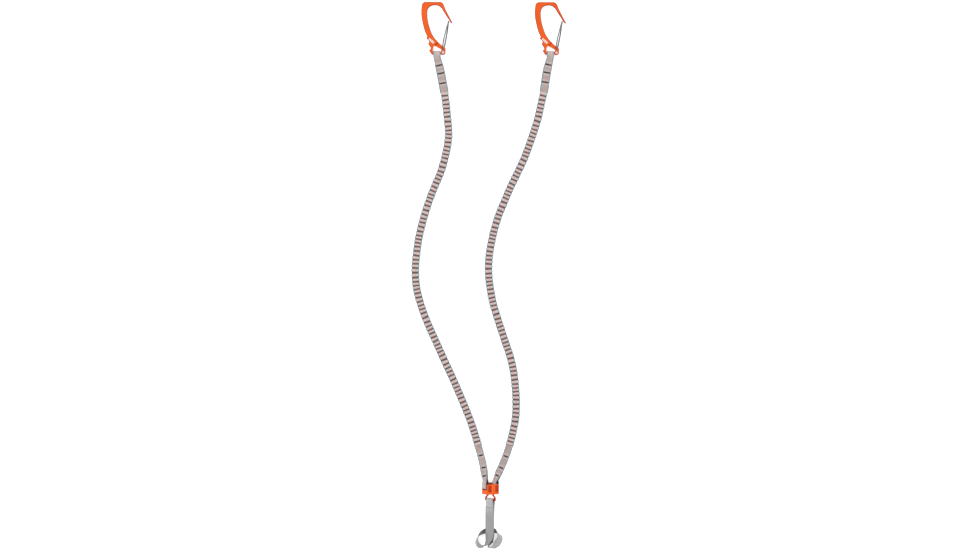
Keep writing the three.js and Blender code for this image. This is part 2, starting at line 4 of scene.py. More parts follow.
import bmesh
import bpy
import numpy as np
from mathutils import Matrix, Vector


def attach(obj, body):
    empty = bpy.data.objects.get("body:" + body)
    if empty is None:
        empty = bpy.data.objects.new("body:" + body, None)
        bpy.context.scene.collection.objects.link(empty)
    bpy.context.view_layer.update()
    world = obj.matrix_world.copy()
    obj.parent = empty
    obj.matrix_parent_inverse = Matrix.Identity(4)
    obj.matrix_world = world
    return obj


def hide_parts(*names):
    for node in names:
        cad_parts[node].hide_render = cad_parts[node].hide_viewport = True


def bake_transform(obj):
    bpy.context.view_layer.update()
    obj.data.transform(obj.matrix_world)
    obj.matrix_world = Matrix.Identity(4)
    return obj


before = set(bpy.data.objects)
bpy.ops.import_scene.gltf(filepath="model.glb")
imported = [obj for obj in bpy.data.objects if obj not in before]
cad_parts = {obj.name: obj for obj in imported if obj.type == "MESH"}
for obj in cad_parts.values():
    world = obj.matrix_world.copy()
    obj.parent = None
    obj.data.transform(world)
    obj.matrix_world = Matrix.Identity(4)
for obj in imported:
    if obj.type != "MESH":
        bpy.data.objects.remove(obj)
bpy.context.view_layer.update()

MM = 0.001
SIDES = ("left", "right")
UP = np.array([0, 0, 1.0])

# Clips
CLIP_THICK = 6.2 * MM
CENTRE_Z = CLIP_THICK / 2
BAR_R = 1.7 * MM  # the bar that the webbing is sewn round
WIRE_R = 1.0 * MM  # the gate's wire
GATE_FOOT = (8.5, 5.3)  # from the webbing bar, in millimetres

# Swivel and shackle
SWIVEL_X, SWIVEL_TOP, SWIVEL_Z = -4.8 * MM, -305 * MM, 12.4 * MM
SWIVEL_YAW = math.radians(35)
SWIVEL_WALL = 7.75  # half of the swivel's depth, in millimetres
WING_BAR_X, WING_BAR_R, WING_BAR_HEIGHT = 8.95 * MM, 1.55 * MM, 5.6 * MM
FIT = 0.35 * MM  # between the webbing and its bar
SHACKLE_YAW = math.radians(40)
SHACKLE_BAR_R, SHACKLE_BAR_Y = 1.25 * MM, -328.3 * MM

# Pleated arms
PLEAT = 6.2 * MM  # from one groove to the next
CORE_WIDTH, CORE_THICK = 7.4 * MM, 2.4 * MM
BEND_LENGTH = 66 * MM  # the stretch beside the swivel

# Sewn ends
LEG = 1.1 * MM  # one layer of webbing
SEWN_HALF = 1.6 * MM  # half of both layers, sewn together
STRAP_WIDTH = 12.7 * MM  # 0.5 mm more than the CAD solids, as the photograph shows it
EYE_WIDTH = 10.6 * MM  # squeezed, round a bar
SQUEEZE = 20 * MM  # the run over which the webbing gets its full width
TACK_WIDTHS = {"upper": 9.8 * MM, "lower": 7.2 * MM}
TACK_LENGTH = 2.3 * MM

# Sling
SLING_WIDTH, SLING_THICK = 12.7 * MM, 1.2 * MM

# Centre line of each pleated stretch, clip end first, in millimetres
ROUTES = {
    "left": [
        (-72.3, 268, 3.1), (-69.8, 250, 3.1), (-67.6, 228, 3.1), (-66, 208, 3.1),
        (-67.4, 192, 3.1), (-71.5, 172, 3.1), (-78, 150, 3.1), (-86.5, 130, 3.1),
        (-95, 108, 3.1), (-102.5, 84, 3.1), (-109, 58, 3.1), (-113.2, 30, 3.1),
        (-114.8, 5, 3.1), (-113, -18, 3.1), (-107, -42, 3.1), (-97.5, -68, 3.1),
        (-85, -96, 3.1), (-71.5, -126, 3.1), (-59, -153, 3.1), (-47, -181, 3.1),
        (-36, -208, 3.2), (-27.4, -233, 3.9), (-22.6, -250, 5.4),
    ],
    "right": [
        (73.2, 268, 3.1), (69.2, 250, 3.1), (64.2, 228, 3.1), (58, 208, 3.1),
        (52.4, 192, 3.1), (45, 172, 3.1), (34.8, 150, 3.1), (25, 130, 3.1),
        (15.5, 108, 3.1), (5.9, 84, 3.1), (-1.3, 58, 3.1), (-6.4, 30, 3.1),
        (-7.6, 5, 3.1), (-5.3, -18, 3.1), (-0.6, -42, 3.1), (7.2, -68, 3.1),
        (16.4, -96, 3.1), (26, -126, 3.1), (30.6, -153, 3.1), (32.7, -181, 3.1),
        (31.9, -208, 3.1), (27.2, -233, 3.2), (22.8, -250, 3.6),
    ],
}

# The clips' webbing bars, and the points that each sewn end passes, in millimetres
UPPER_BARS = {"left": (-83.1, 325.5, 3.1), "right": (83, 325.1, 3.1)}
UPPER_POINTS = {"left": [(-78.3, 300, 3.1)], "right": [(78.2, 300, 3.1)]}
LOWER_POINTS = {
    "left": [(-13.4, -291, 15.9), (-15.4, -278, 12.6), (-18.7, -264, 8.8)],
    "right": [(6.4, -291, 6.7), (12.3, -278, 5.7), (18, -264, 4.5)],
}

# How far each bar tack is from its bar, in millimetres
UPPER_TACKS = {"left": (18.8, 30.8, 45.4), "right": (17.4, 29.2, 43.4)}
LOWER_TACKS = {"left": (15.2, 27.4, 46), "right": (15.4, 28, 46)}

# The line of a clip's white dashes, from its webbing bar. Then, for each dash, where it starts and
# ends along the line, and half of its height. In millimetres.
PRINT_LINE = ((-11.6, 20.6), (-3.8, 13.6))
PRINT_DASHES = ((-0.2, 1.5, 1.4), (2.2, 4.1, 1.4), (4.8, 6.7, 1.7), (7.4, 9.3, 1.4))

# Sling: a point of the centre line and the ribbon's width direction in each row. The rows go
# down the front, round the ring, up behind, and back to the shackle's bar.
SLING_ROUTE = [
    (-6.1, -335, 14.3, 0.91, 0, 0.42), (-5.9, -344, 14.2, 0.99, 0, 0.14),
    (-5.9, -355, 14.1, 1, 0, 0), (-5.9, -366, 14.1, 1, 0, 0.05),
    (-6, -375, 13.4, 0.98, 0, 0.21), (-6.7, -382, 11.6, 0.87, 0, 0.5),
    (-8.6, -387.5, 9.8, 0.67, 0.02, 0.74), (-11.2, -391.8, 8.2, 0.42, 0.15, 0.9),
    (-14.5, -395, 7.2, 0.28, 0.35, 0.89), (-19, -396.4, 6.7, 0.2, 0.48, 0.86),
    (-23.3, -393.7, 6.5, 0.28, 0.45, 0.84), (-24.6, -388.5, 6.4, 0.3, 0.45, 0.84),
    (-23.2, -383, 6.3, 0.27, 0.48, 0.83), (-19.5, -378, 6, 0.15, 0.57, 0.81),
    (-13.5, -374.4, 5.4, 0.05, 0.64, 0.77), (-6, -372.8, 5, 0, 0.66, 0.75),
    (1, -373.8, 5.3, -0.12, 0.62, 0.77), (5.6, -377.2, 5.8, -0.35, 0.5, 0.79),
    (8.3, -382, 6, -0.56, 0.28, 0.78), (7.9, -387.4, 5.3, -0.72, 0.2, 0.66),
    (5.2, -391.9, 5, -0.62, 0.5, 0.6), (1.6, -395.4, 5.3, -0.4, 0.55, 0.73),
    (-2.3, -397.6, 6.3, -0.08, 0.26, 0.96), (-5.6, -398, 6.5, 0, 0.06, 1),
    (-7.9, -396.9, 6.5, 0, 0, 1), (-7.4, -394.7, 6.5, 0, 0, 1),
    (-4.9, -392.2, 6.5, 0.1, 0, 0.99), (-3.2, -388.3, 6.6, 0.34, 0, 0.94),
    (-4.4, -383.3, 7.4, 0.67, 0, 0.74), (-5.3, -377.5, 9.6, 0.91, 0, 0.42),
    (-5.8, -371, 11.8, 0.99, 0, 0.14), (-5.9, -362, 12.1, 1, 0, 0),
    (-5.7, -352, 11.7, 1, 0, 0), (-5.3, -343, 11.4, 0.99, 0, 0.14),
    (-4.5, -335, 11, 0.91, 0, 0.42),
]


def metres(rows):
    """Millimetres to metres, as an array."""
    return np.array(rows, float) * MM


def unit(v):
    """Vectors along the last axis, at length 1."""
    return v / np.linalg.norm(v, axis=-1, keepdims=True)


def smooth(t):
    """0 below 0, 1 above 1, and a soft step between."""
    t = np.clip(t, 0, 1)
    return t * t * (3 - 2 * t)


def rounded(wave, power):
    """A sine or cosine that lingers near its ends, which squares a circle off."""
    return np.sign(wave) * np.abs(wave) ** power


def level_frame(tangent, roll=0.0):
    """Across and facing directions of a strip that lies level, turned by roll about its run."""
    level = unit(np.cross(tangent, UP))
    normal = np.cross(level, tangent)
    across = level * np.cos(roll) + normal * np.sin(roll)
    return across, np.cross(across, tangent)


def run_of(points):
    """How far each point is from the first, along them all."""
    steps = np.linalg.norm(np.diff(points, axis=0), axis=1)
    return np.concatenate([[0], np.cumsum(steps)])


def bell(distance, reach):
    """1 at no distance, and next to 0 at twice the reach."""
    return np.exp(-((distance / reach) ** 2))


def between(place, start, rise, end, fall):
    """0 up to start, 1 after the rise, and down to 0 again over the fall before end."""
    return smooth((place - start) / rise) * smooth((end - place) / fall)


# Curves ---------------------------------------------------------------------------------------


def catmull(points, closed=False, per_span=40):
    """A smooth curve through the points: centripetal Catmull-Rom."""
    p = np.asarray(points, float)
    n = len(p)
    spans = n if closed else n - 1
    out = []
    for i in range(spans):
        if closed:
            p0, p1, p2, p3 = (p[(i + k) % n] for k in (-1, 0, 1, 2))
        else:
            p1, p2 = p[i], p[i + 1]
            p0 = p[i - 1] if i else 2 * p1 - p2
            p3 = p[i + 2] if i + 2 < n else 2 * p2 - p1
        d0, d1, d2 = (math.sqrt(np.linalg.norm(b - a)) for a, b in ((p0, p1), (p1, p2), (p2, p3)))
        t1 = ((p1 - p0) / d0 - (p2 - p0) / (d0 + d1) + (p2 - p1) / d1) * d1
        t2 = ((p2 - p1) / d1 - (p3 - p1) / (d1 + d2) + (p3 - p2) / d2) * d1
        t = np.linspace(0, 1, per_span, endpoint=False)[:, None]
        out.append(
            p1 + t1 * t + (3 * (p2 - p1) - 2 * t1 - t2) * t**2
            + (2 * (p1 - p2) + t1 + t2) * t**3
        )
    if not closed:
        out.append(p[-1][None])
    return np.concatenate(out)


class Line:
    """A curve measured by its own length."""

    def __init__(self, dense):
        self.dense = dense
        self.s = run_of(dense)
        self.length = self.s[-1]

    def at(self, s):
        """Points at the lengths s."""
        return np.stack([np.interp(s, self.s, self.dense[:, k]) for k in range(3)], axis=-1)

    def heading(self, s, reach=0.4 * MM):
        """Directions at the lengths s, each between two near points."""
        low = np.clip(s - reach, 0, self.length)
        high = np.clip(s + reach, 0, self.length)
        return unit(self.at(high) - self.at(low))


# Meshes ---------------------------------------------------------------------------------------


def new_object(name, verts, faces, attributes=None, sharp_deg=None):
    """A smooth mesh object, with sharp edges above sharp_deg where that is given."""
    mesh = bpy.data.meshes.new(name)
    mesh.from_pydata([tuple(v) for v in verts], [], faces)
    for key, values in (attributes or {}).items():
        layer = mesh.attributes.new(key, "FLOAT", "POINT")
        layer.data.foreach_set("value", np.asarray(values, np.float32).ravel())
    mesh.update()
    bm = bmesh.new()
    bm.from_mesh(mesh)
    bmesh.ops.recalc_face_normals(bm, faces=bm.faces)
    bm.to_mesh(mesh)
    bm.free()
    if sharp_deg is None:
        mesh.polygons.foreach_set("use_smooth", [True] * len(mesh.polygons))
    else:
        mesh.shade_smooth()
        mesh.set_sharp_from_angle(angle=math.radians(sharp_deg))
    obj = bpy.data.objects.new(name, mesh)
    bpy.context.scene.collection.objects.link(obj)
    return obj


def ring_faces(rings, around, closed=False):
    """Faces between rings of points, with both ends capped where the rings don't close."""
    faces = []
    last = rings if closed else rings - 1
    for i in range(last):
        a, b = i * around, ((i + 1) % rings) * around
        for k in range(around):
            m = (k + 1) % around
            faces.append((a + k, a + m, b + m, b + k))
    if not closed:
        faces.append(tuple(range(around)))
        faces.append(tuple((rings - 1) * around + k for k in range(around)))
    return faces


def sweep(name, centres, across, facing, section, along, groove=None, closed=False, extra=None):
    """Rings of the section, (rings, around, 2), laid along a line.

    The points keep their place in the strip, in millimetres, for the materials to use.
    """
    rings, around = section.shape[:2]
    points = (
        centres[:, None] + across[:, None] * section[..., :1] + facing[:, None] * section[..., 1:]
    )
    attributes = {
        "across": section[..., 0] / MM,
        "along": np.repeat(along[:, None], around, axis=1) / MM,
        "groove": np.zeros((rings, around)) if groove is None else groove,
        **(extra or {}),
    }
    faces = ring_faces(rings, around, closed)
    return new_object(name, points.reshape(-1, 3), faces, attributes)


def rounded_section(half_width, half_thick, around, power=4.0):
    """A flat strip's outline with soft edges, as (around, 2)."""
    t = np.linspace(0, 2 * np.pi, around, endpoint=False)
    x = half_width * rounded(np.cos(t), 2 / power)
    z = half_thick * rounded(np.sin(t), 2 / 2.6)
    return np.stack([x, z], axis=-1)


# Materials ------------------------------------------------------------------------------------


class Nodes:
    """A small helper that adds and links shader nodes."""

    def __init__(self, name, roughness, metallic=0.0, sheen=0.0, coat=0.0):
        self.material = bpy.data.materials.new(name)
        self.material.use_nodes = True
        self.tree = self.material.node_tree
        self.shader = self.tree.nodes["Principled BSDF"]
        self.shader.inputs["Roughness"].default_value = roughness
        self.shader.inputs["Metallic"].default_value = metallic
        self.shader.inputs["Sheen Weight"].default_value = sheen
        self.shader.inputs["Coat Weight"].default_value = coat

    def add(self, kind, **settings):
        """A new node of the kind."""
        node = self.tree.nodes.new(kind)
        for key, value in settings.items():
            setattr(node, key, value)
        return node

    def link(self, source, target):
        """From an output to an input."""
        self.tree.links.new(source, target)

    def math(self, operation, *values):
        """Numbers or outputs, combined."""
        node = self.add("ShaderNodeMath", operation=operation)
        for socket, value in zip(node.inputs, values):
            if isinstance(value, (int, float)):
                socket.default_value = value
            else:
                self.link(value, socket)
        return node.outputs[0]

    def mix(self, share, a, b):
        """From colour a to colour b by the share."""
        node = self.add("ShaderNodeMix", data_type="RGBA")
        self.link(share, node.inputs["Factor"])
        for value, socket in ((a, node.inputs[6]), (b, node.inputs[7])):
            if isinstance(value, tuple):
                socket.default_value = (*value, 1)
            else:
                self.link(value, socket)
        return node.outputs[2]

    def attribute(self, name):
        """A value that the mesh carries at its points."""
        return self.add("ShaderNodeAttribute", attribute_name=name).outputs["Fac"]

    def ramp(self, value, low, high):
        """0 at low and 1 at high, with a soft step between."""
        node = self.add("ShaderNodeMapRange", interpolation_type="SMOOTHSTEP")
        self.link(value, node.inputs[0])
        node.inputs[1].default_value = low
        node.inputs[2].default_value = high
        return node.outputs[0]

    def noise(self, scale, detail=3.0):
        """Noise in the object's own space."""
        place = self.add("ShaderNodeTexCoord").outputs["Object"]
        node = self.add("ShaderNodeTexNoise")
        self.link(place, node.inputs["Vector"])
        node.inputs["Scale"].default_value = scale
        node.inputs["Detail"].default_value = detail
        return node.outputs[0]

    def colour(self, output):
        """The output as the surface's colour."""
        self.link(output, self.shader.inputs["Base Color"])

    def bump(self, height, strength, distance):
        """The height as fine relief of the surface."""
        node = self.add("ShaderNodeBump")
        node.inputs["Strength"].default_value = strength
        node.inputs["Distance"].default_value = distance
        self.link(height, node.inputs["Height"])
        self.link(node.outputs[0], self.shader.inputs["Normal"])

    def roughness(self, value, low, high):
        """Roughness from low to high as the value goes from 0 to 1."""
        node = self.add("ShaderNodeMapRange")
        self.link(value, node.inputs[0])
        node.inputs[3].default_value = low
        node.inputs[4].default_value = high
        self.link(node.outputs[0], self.shader.inputs["Roughness"])


# The weave's threads and the stripe's broken ones, in millimetres from one to the next
WEAVE_ACROSS, WEAVE_ALONG, STRIPE_PICKS = 0.62, 0.74, 2.4
STRIPE_HALF = 1.5  # half of the stripe's width, in millimetres


def shade(colour, factor):
    """The colour, lighter above 1 and darker below it."""
    return tuple(min(1, factor * c) for c in colour)


def pattern(m, name, pitch):
    """The phase of a pattern along one of the strip's own coordinates, in millimetres."""
    return m.math("MULTIPLY", m.attribute(name), 2 * math.pi / pitch)


def weave_height(m):
    """Over and under threads of a plain weave."""
    u, v = pattern(m, "across", WEAVE_ACROSS), pattern(m, "along", WEAVE_ALONG)
    one, other = m.math("ADD", u, v), m.math("SUBTRACT", u, v)
    return m.math("ADD", m.math("SINE", one), m.math("SINE", other))


def webbing_material(name, light, dark, margin, stripe=None, stripe_in_shade=None):
    """Woven webbing with painted shade in its grooves, on its edges, inside its eyes and ring and on
    the sling's rear strand, painted highlights on crests, folds and puckers, and a stripe along it if
    one is given.

    margin is where the painted shade on the edges starts and ends, in millimetres from the middle, and
    its share.
    """
    m = Nodes(name, roughness=0.86, sheen=0.25)
    weave = weave_height(m)
    from_middle = m.math("ABSOLUTE", m.attribute("across"))
    body = m.mix(m.ramp(m.noise(260.0, 4.0), 0.3, 0.7), shade(light, 0.9), light)
    thread = m.ramp(weave, -2.0, 2.0)
    body = m.mix(m.math("MULTIPLY", thread, 0.22), body, shade(light, 1.25))
    # Painted highlight: lighter on pleat crests, beside bar tacks, at folds round bars and on the
    # sling's lit faces.
    body = m.mix(m.math("MULTIPLY", m.attribute("painted_highlight"), 0.75), body, shade(light, 1.65))
    # Painted shade: darker towards both edges, where the strip turns away from the light.
    edge = m.ramp(from_middle, margin[0], margin[1])
    body = m.mix(m.math("MULTIPLY", edge, margin[2]), body, shade(light, 0.35))
    # Painted shade: the dark colour down in the pleats' grooves.
    groove = m.ramp(m.attribute("groove"), 0.30, 0.72)
    body = m.mix(groove, body, dark)
    if stripe:
        outside = m.ramp(from_middle, STRIPE_HALF - 0.15, STRIPE_HALF + 0.25)
        picks = m.math("MULTIPLY", m.math("SINE", pattern(m, "along", STRIPE_PICKS)), 0.26)
        inside = m.math("MULTIPLY", m.math("SUBTRACT", 1.0, outside), m.math("ADD", 0.74, picks))
        # The stripe takes the painted highlight on crests and a painted shade colour in grooves.
        lit_stripe = m.mix(m.attribute("painted_highlight"), stripe, tuple(0.25 + 0.75 * c for c in stripe))
        line = m.mix(groove, lit_stripe, stripe_in_shade)
        body = m.mix(m.math("MULTIPLY", inside, 0.92), body, line)
    # Painted shade: much darker inside the eyes, round the inside of the sling's ring and on its rear
    # strand.
    body = m.mix(m.attribute("painted_shade"), body, shade(dark, 0.35))
    m.colour(body)
    m.bump(weave, 0.55, 0.12 * MM)
    return m.material


def anodised_material(name, light, side, roughness, metallic, turns=(0.8, 0.985)):
    """Coated metal with a fine satin grain, and a painted shade in the side colour where it turns from
    level.

    turns are how level a surface is, from 0 to 1, where it is all painted side shade and where it is
    all the light colour.
    """
    m = Nodes(name, roughness=roughness, metallic=metallic, coat=0.04)
    m.shader.inputs["Specular IOR Level"].default_value = 0.2
    grain = m.noise(900.0, 5.0)
    broad = m.ramp(m.noise(60.0, 2.0), 0.3, 0.7)
    split = m.add("ShaderNodeSeparateXYZ")
    m.link(m.add("ShaderNodeTexCoord").outputs["Normal"], split.inputs[0])
    # Painted shade: the side colour on faces that turn from level.
    painted_side_shade = m.math("SUBTRACT", 1.0, m.ramp(m.math("ABSOLUTE", split.outputs[2]), *turns))
    face = m.mix(broad, light, shade(light, 0.93))
    m.colour(m.mix(painted_side_shade, face, side))
    m.roughness(grain, roughness - 0.06, roughness + 0.1)
    m.bump(grain, 0.12, 0.03 * MM)
    return m.material


def wire_material():
    """Drawn steel wire with fine streaks."""
    m = Nodes("gate_wire", roughness=0.25, metallic=1.0)
    streak = m.noise(1400.0, 6.0)
    m.colour(m.mix(m.ramp(streak, 0.35, 0.65), (0.14, 0.143, 0.148), (0.22, 0.223, 0.228)))
    m.roughness(streak, 0.18, 0.36)
    m.bump(streak, 0.1, 0.02 * MM)
    return m.material


def thread_material(name, light, dark):
    """Twisted thread with a little fuzz."""
    m = Nodes(name, roughness=0.8, sheen=0.2)
    twist = m.math("SINE", pattern(m, "along", 0.28))
    fuzz = m.noise(2600.0, 3.0)
    m.colour(m.mix(m.ramp(fuzz, 0.3, 0.7), dark, light))
    m.bump(m.math("ADD", twist, fuzz), 0.5, 0.06 * MM)
    return m.material


def rubber_material():
    """Black rubber strip with fine ribs along it."""
    m = Nodes("elastic_strip", roughness=0.72)
    rib = m.math("SINE", pattern(m, "across", 0.8))
    speck = m.ramp(m.noise(1500.0), 0.4, 0.6)
    m.colour(m.mix(speck, (0.035, 0.035, 0.04), (0.06, 0.06, 0.065)))
    m.bump(rib, 0.6, 0.15 * MM)
    return m.material


def plain_material(name, light, dark, roughness):
    """Moulded or printed: one colour with fine specks."""
    m = Nodes(name, roughness=roughness)
    speck = m.noise(1200.0, 4.0)
    m.colour(m.mix(m.ramp(speck, 0.35, 0.65), dark, light))
    m.roughness(speck, roughness - 0.08, roughness + 0.08)
    m.bump(speck, 0.15, 0.03 * MM)
    return m.material


# Each metal's second colour is its painted shade on the sides.
ORANGE = anodised_material(
    "orange_alloy", (0.78, 0.098, 0.0035), (0.27, 0.024, 0.002), roughness=0.42, metallic=0.05,
)
SWIVEL_ORANGE = anodised_material(
    "swivel_orange", (0.84, 0.112, 0.004), (0.56, 0.044, 0.002), roughness=0.34, metallic=0.1,
    turns=(0.1, 0.6),
)
# The swivel's orange made darker for the rib panels: painted shade between the ribs.
RIBS_IN_PAINTED_SHADE = anodised_material(
    "ribbed_wall_painted_shade", (0.56, 0.042, 0.002), (0.44, 0.026, 0.002), roughness=0.45, metallic=0.1,
)
RED = anodised_material(
    "red_orange_steel", (0.64, 0.072, 0.012), (0.38, 0.028, 0.005), roughness=0.3, metallic=0.3,
)
WIRE = wire_material()
# The second colour and the stripe's darker one are painted shade; margin sets the painted shade on the
# edges.
TUBE = webbing_material(
    "grey_tube_webbing", (0.385, 0.395, 0.40), (0.055, 0.063, 0.07),
    stripe=(0.69, 0.275, 0.18), stripe_in_shade=(0.35, 0.042, 0.018), margin=(3.6, 5.7, 0.5),
)
SLING = webbing_material(
    "grey_sling_webbing", (0.375, 0.375, 0.375), (0.1, 0.1, 0.1), margin=(5.0, 6.1, 0.5),
)
DARK_THREAD = thread_material("dark_thread", (0.03, 0.03, 0.033), (0.008, 0.008, 0.01))
PALE_THREAD = thread_material("pale_thread", (0.62, 0.62, 0.6), (0.42, 0.42, 0.41))
RUBBER = rubber_material()
NYLON = plain_material("nylon_washer", (0.03, 0.03, 0.032), (0.012, 0.012, 0.013), 0.5)
PRINT = plain_material("white_print", (0.85, 0.84, 0.82), (0.7, 0.69, 0.67), 0.6)


def finish(obj, material, body=None, node=None):
    """Gives a piece its material and slot, the body it rides on and the node it replaces."""
    obj.data.materials.clear()
    obj.data.materials.append(material)
    if body:
        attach(obj, body)
    if node:
        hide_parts(node)
    return obj


# Camera ---------------------------------------------------------------------------------------


def camera():
    """Straight above. The picture is 1.43 m wide at the height of the clips' faces."""
    lens, sensor = 100.0, 36.0
    picture_width, middle, height = 1.4303, (-6.9 * MM, 0.4 * MM), 6 * MM
    data = bpy.data.cameras.new("camera")
    data.lens, data.sensor_width = lens, sensor
    data.clip_start, data.clip_end = 0.1, 50.0
    obj = bpy.data.objects.new("camera", data)
    obj.location = (*middle, picture_width * lens / sensor + height)
    bpy.context.scene.collection.objects.link(obj)
    bpy.context.scene.camera = obj


# Pleated arms ---------------------------------------------------------------------------------

# In a groove, half of the tube's width and thickness, and what a crest and an uneven crest add,
# in millimetres
PLEAT_WIDTH = (5.05, 0.9, 0.25)
PLEAT_THICK = (1.75, 1.0, 0.2)
CROWN_DEPTH = 0.45  # the groove's depth at which the painted highlight on a crest's crown ends


def pleat_section(s, length, around=36):
    """Outline of the ruched tube at each place along it, and how deep in a groove it is.

    Slow sines make the pleats differ in pitch, slant, size and creases.
    """
    t = np.linspace(0, 2 * np.pi, around, endpoint=False)[None]
    run = s / MM
    wander = 0.12 * np.sin(run * 0.083) + 0.09 * np.sin(run * 0.19 + 1.3)
    slant = 0.07 * np.sin(run * 0.31 + 0.7)[:, None] * np.cos(t)
    phase = (s / length * round(length / PLEAT) + wander)[:, None] + slant
    number = np.floor(phase).astype(int)
    uneven = 0.5 + 0.5 * np.sin(number * 12.9898) * np.cos(number * 4.1414)
    fade = between(s, 0, 2 * MM, length, 1.2 * MM)[:, None]
    puff = 1 - (1 - np.abs(np.sin(np.pi * phase)) ** 1.05) * fade
    crease = 0.10 * np.sin(9 * t + 5.1 * number) * fade * puff
    half_width, half_thick = (
        groove + (crest + extra * uneven) * puff for groove, crest, extra in (PLEAT_WIDTH, PLEAT_THICK)
    )
    x = (half_width + 0.4 * crease) * MM * rounded(np.cos(t), 0.78)
    z = (half_thick + crease) * MM * rounded(np.sin(t), 0.84)
    return np.stack([x, z], axis=-1), (1 - puff) * fade


def pleated_piece(name, line, s0, s1, step=0.5 * MM):
    """The ruched tube from s0 to s1, and the points that it follows."""
    s = np.linspace(s0, s1, max(12, int((s1 - s0) / step)))
    across, facing = level_frame(line.heading(s))
    section, groove = pleat_section(s, line.length)
    # Painted highlight on each crest.
    crest_highlight = {"painted_highlight": smooth((CROWN_DEPTH - groove) / CROWN_DEPTH)}
    path = line.at(s)
    return sweep(name, path, across, facing, section, s, groove, extra=crest_highlight), path


def core_piece(name, line, s0, s1, step=3 * MM):
    """The rubber strip inside the tube from s0 to s1."""
    s = np.linspace(s0, s1, max(8, int((s1 - s0) / step)))
    across, facing = level_frame(line.heading(s))
    strip = rounded_section(CORE_WIDTH / 2, CORE_THICK / 2, 20)
    section = np.broadcast_to(strip, (len(s), *strip.shape))
    return sweep(name, line.at(s), across, facing, section, s)


def arm(side):
    """Tube and rubber, as two stretches that meet BEND_LENGTH short of the swivel end. Returns their
    line.
    """
    line = Line(catmull(metres(ROUTES[side])))
    split = line.length - BEND_LENGTH
    gap, inset = 0.02 * MM, 0.5 * MM
    upper, upper_path = pleated_piece(f"{side}_pleats", line, 0.0, split - gap)
    lower, lower_path = pleated_piece(f"{side}_pleats_by_swivel", line, split + gap, line.length)
    cores = [
        core_piece(f"{side}_core", line, inset, split - gap),
        core_piece(f"{side}_core_by_swivel", line, split + gap, line.length - inset),
    ]
    for piece in (upper, lower):
        finish(piece, TUBE, node=f"{side}_pleated_sheath")
    for piece in cores:
        finish(piece, RUBBER, node=f"{side}_elastic_core")
    for piece in (upper, cores[0]):
        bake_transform(piece)
    for piece in (lower, cores[1]):
        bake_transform(piece)
    return line


# Sewn ends ------------------------------------------------------------------------------------


class Lay:
    """Where a straight strap goes: X across, Y along from the bar, Z thick.

    It leaves the bar along heading, straight for the length square, and then passes the points.
    It turns from the first of rolls to the second over the share untwist of its bent length.
    """

    def __init__(self, bar, heading, square, points, rolls, width=STRAP_WIDTH, untwist=0.6):
        self.bar, self.heading, self.square, self.rolls = bar, heading, square, rolls
        self.width, self.untwist = width, untwist
        start = bar + heading * square
        self.line = Line(catmull(np.vstack([start, points])))
        self.length = square + self.line.length

    def place(self, points):
        """Points (n, 3) from straight space to the frame."""
        along = points[:, 1]
        s = np.clip(along - self.square, 0, self.line.length)
        bent = (along > self.square)[:, None]
        straight = self.bar + self.heading * along[:, None]
        centre = np.where(bent, self.line.at(s), straight)
        tangent = np.where(bent, self.line.heading(s), self.heading)
        t = smooth(s / self.line.length / self.untwist)[:, None]
        across, facing = level_frame(tangent, self.rolls[0] + (self.rolls[1] - self.rolls[0]) * t)
        squeeze = smooth((along - self.square) / SQUEEZE)
        narrow = (EYE_WIDTH + (self.width - EYE_WIDTH) * squeeze)[:, None] / STRAP_WIDTH
        return centre + across * points[:, :1] * narrow + facing * points[:, 2:]


def eye_path(eye_r, drop, rise, taper, length, step=0.8 * MM):
    """The webbing's middle line in the strap's side view, (along, thick), there and back.

    It comes down one side, goes round the bar's eye of radius eye_r, drop beyond the middle, and
    goes back up the other side. The sides are straight up to rise, and meet from taper on.
    """
    layer = SEWN_HALF / 2
    mid = eye_r + LEG / 2
    turn = np.linspace(0, np.pi, 25)
    bend = np.stack([-drop - mid * np.sin(turn), mid * np.cos(turn)], axis=-1)
    y = np.arange(length, rise, -step)
    share = smooth((y - rise) / (taper - rise))
    down = np.stack([y, mid + (layer - mid) * share], axis=-1)
    side = [(rise, mid)] if rise > 0 else []
    first = np.array([*down, *side, *bend])
    back = np.array([(a, -b) for a, b in (*side, *down[::-1])])
    return np.vstack([first, back])


# The sewn webbing, in millimetres: half of a layer's thickness, sewn and loose, how far the
# stitches pinch it and where it puckers under a painted highlight beside them, and how far the painted
# highlight at a bar's fold goes
SEWN_LAYER, LOOSE_LAYER = 0.78, 0.55
PINCH_REACH, PUCKER_AT, PUCKER_REACH, FOLD_REACH = 1.4, 2.9, 1.2, 8
EYE_INNER_SHADE = {"upper": 0.35, "lower": 1.0}  # how strong the painted shade on the inside of each eye is


